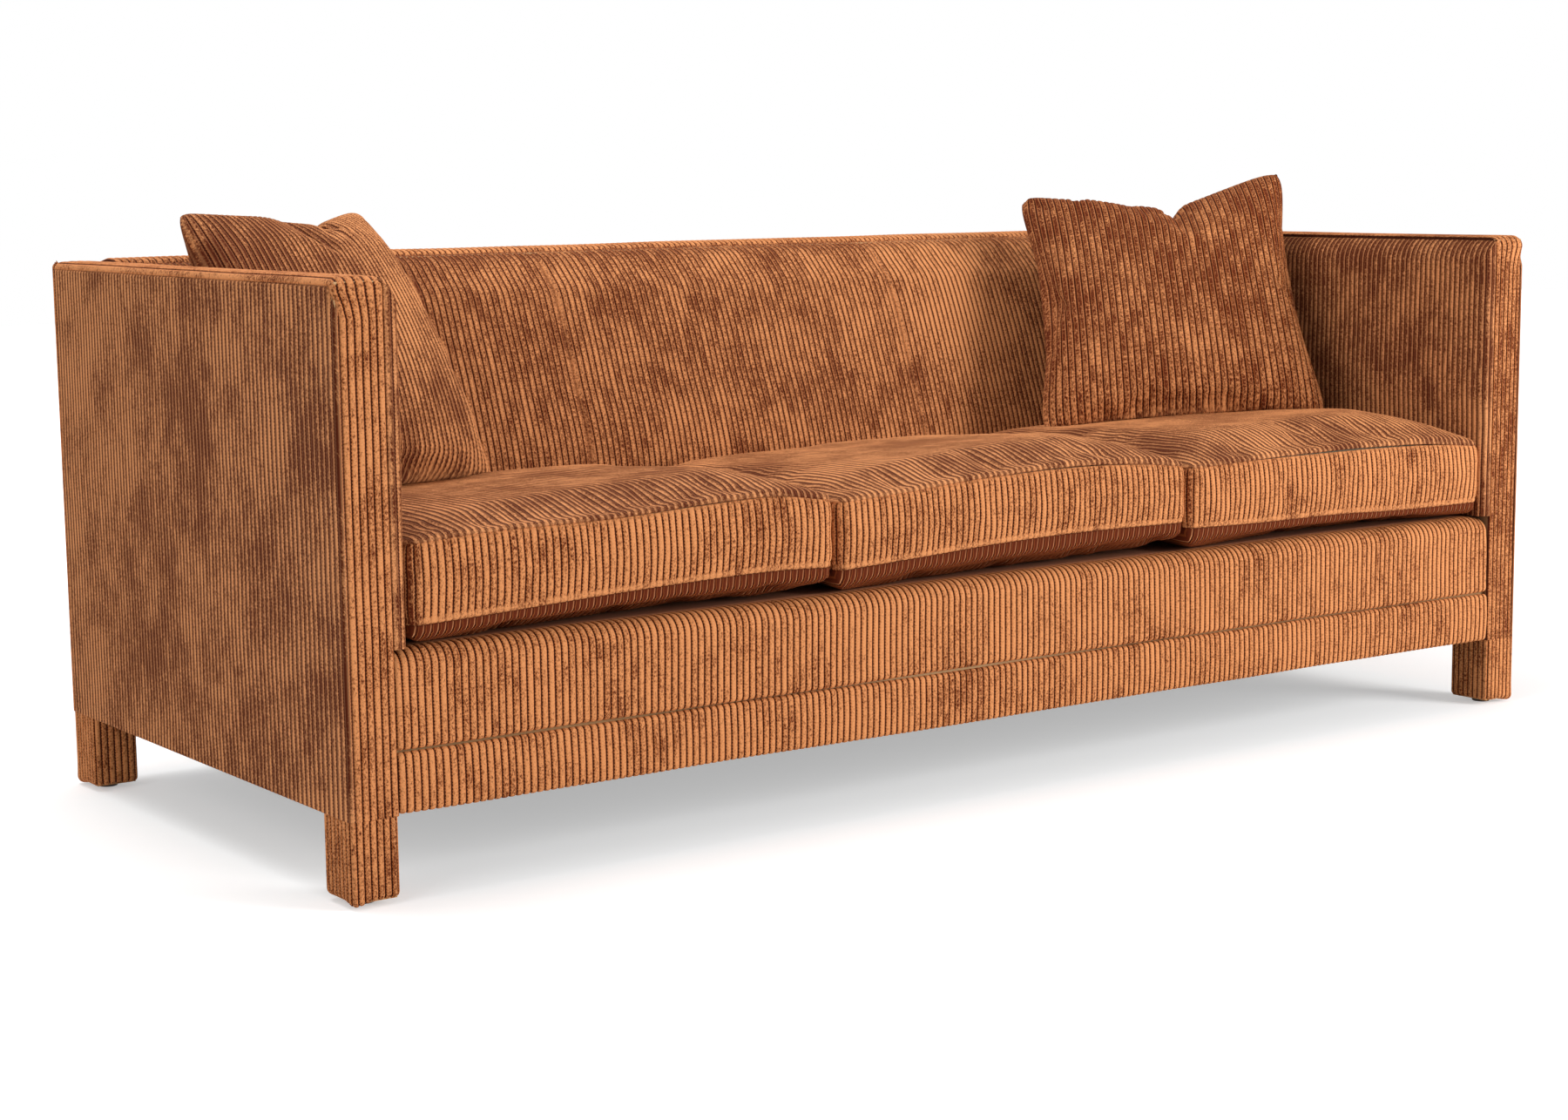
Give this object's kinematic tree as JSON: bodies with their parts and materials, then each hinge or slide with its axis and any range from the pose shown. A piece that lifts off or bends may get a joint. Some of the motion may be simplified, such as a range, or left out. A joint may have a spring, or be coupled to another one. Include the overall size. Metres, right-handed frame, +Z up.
{
  "type": "tuxedo sofa",
  "caption": "Upholstered sofa in wide-ribbed fabric with arms as high as the back, short wrapped legs, loose box seat cushions and square throw pillows.",
  "frame": {"origin": "on the floor, under the middle of the sofa", "axes": "+X along the sofa to the right hand seen from the front, -Y towards the front, +Z up"},
  "size_m": [2.337, 0.99, 0.9552],
  "materials": {
    "ribbed_fabric": "wide-wale ribbed velvet, rust caramel, soft pile with a sheen",
    "frame_wood": "planed softwood, bare",
    "hardboard": "pressed board, bare",
    "foam": "upholstery foam, cream",
    "feather": "down-proof cotton, off white",
    "deck_cloth": "plain woven lining, rust brown",
    "cambric": "black non-woven dust cloth",
    "spring_steel": "drawn spring wire",
    "nylon": "moulded nylon, brown",
    "zip_brass": "antique brass"
  },
  "bodies": {
    "frame": {"leg_post_front_left": "frame_wood", "leg_cover_front_left": "ribbed_fabric", "glide_front_left": "nylon", "corner_block_front_left": "frame_wood", "leg_post_front_right": "frame_wood", "leg_cover_front_right": "ribbed_fabric", "glide_front_right": "nylon", "corner_block_front_right": "frame_wood", "leg_post_rear_left": "frame_wood", "leg_cover_rear_left": "ribbed_fabric", "glide_rear_left": "nylon", "corner_block_rear_left": "frame_wood", "leg_post_rear_right": "frame_wood", "leg_cover_rear_right": "ribbed_fabric", "glide_rear_right": "nylon", "corner_block_rear_right": "frame_wood", "side_seat_rail_left": "frame_wood", "arm_top_rail_left": "frame_wood", "inner_arm_board_left": "hardboard", "seat_stretcher_left": "frame_wood", "back_slat_left": "frame_wood", "outside_arm_cover_left": "ribbed_fabric", "arm_facing_left": "ribbed_fabric", "inside_arm_pad_left": "ribbed_fabric", "side_seat_rail_right": "frame_wood", "arm_top_rail_right": "frame_wood", "inner_arm_board_right": "hardboard", "seat_stretcher_right": "frame_wood", "back_slat_right": "frame_wood", "outside_arm_cover_right": "ribbed_fabric", "arm_facing_right": "ribbed_fabric", "inside_arm_pad_right": "ribbed_fabric", "front_seat_rail": "frame_wood", "rear_seat_rail": "frame_wood", "rear_base_rail": "frame_wood", "back_top_rail": "frame_wood", "outside_back_cover": "ribbed_fabric", "back_top_strip": "ribbed_fabric", "inside_back_pad": "ribbed_fabric", "front_band": "ribbed_fabric", "front_rail_roll": "ribbed_fabric", "deck_cloth": "deck_cloth", "deck_pad": "foam", "dust_cover": "cambric", "seat_springs": "spring_steel"},
    "seat_cushion_left": {"seat_cushion_cover_left": "ribbed_fabric", "seat_cushion_core_left": "foam"},
    "seat_zip_left": {"seat_zip_slider_left": "zip_brass"},
    "seat_cushion_centre": {"seat_cushion_cover_centre": "ribbed_fabric", "seat_cushion_core_centre": "foam"},
    "seat_zip_centre": {"seat_zip_slider_centre": "zip_brass"},
    "seat_cushion_right": {"seat_cushion_cover_right": "ribbed_fabric", "seat_cushion_core_right": "foam"},
    "seat_zip_right": {"seat_zip_slider_right": "zip_brass"},
    "throw_pillow_left": {"pillow_cover_left": "ribbed_fabric", "pillow_insert_left": "feather"},
    "pillow_zip_left": {"pillow_zip_slider_left": "nylon"},
    "throw_pillow_right": {"pillow_cover_right": "ribbed_fabric", "pillow_insert_right": "feather"},
    "pillow_zip_right": {"pillow_zip_slider_right": "nylon"}
  },
  "joints": [
    {"name": "seat_left_lift", "type": "slide", "parent": "frame", "child": "seat_cushion_left", "axis": [0, 0, 1], "range_m": [0, 0.52]},
    {"name": "seat_left_zip", "type": "slide", "parent": "seat_cushion_left", "child": "seat_zip_left", "axis": [-1, 0, 0], "range_m": [0, 0.4]},
    {"name": "seat_centre_lift", "type": "slide", "parent": "frame", "child": "seat_cushion_centre", "axis": [0, 0, 1], "range_m": [0, 0.52]},
    {"name": "seat_centre_zip", "type": "slide", "parent": "seat_cushion_centre", "child": "seat_zip_centre", "axis": [-1, 0, 0], "range_m": [0, 0.4]},
    {"name": "seat_right_lift", "type": "slide", "parent": "frame", "child": "seat_cushion_right", "axis": [0, 0, 1], "range_m": [0, 0.52]},
    {"name": "seat_right_zip", "type": "slide", "parent": "seat_cushion_right", "child": "seat_zip_right", "axis": [-1, 0, 0], "range_m": [0, 0.4]},
    {"name": "pillow_left_lift", "type": "slide", "parent": "seat_cushion_left", "child": "throw_pillow_left", "axis": [0.1002, -0.2505, 0.9629], "range_m": [0, 0.42]},
    {"name": "pillow_left_zip", "type": "slide", "parent": "throw_pillow_left", "child": "pillow_zip_left", "axis": [-0.9375, -0.3478, 0.0106], "range_m": [0, 0.16]},
    {"name": "pillow_right_lift", "type": "slide", "parent": "seat_cushion_right", "child": "throw_pillow_right", "axis": [-0.1002, -0.2505, 0.9629], "range_m": [0, 0.42]},
    {"name": "pillow_right_zip", "type": "slide", "parent": "throw_pillow_right", "child": "pillow_zip_right", "axis": [0.8609, -0.5067, 0.0458], "range_m": [0, 0.16]}
  ]
}
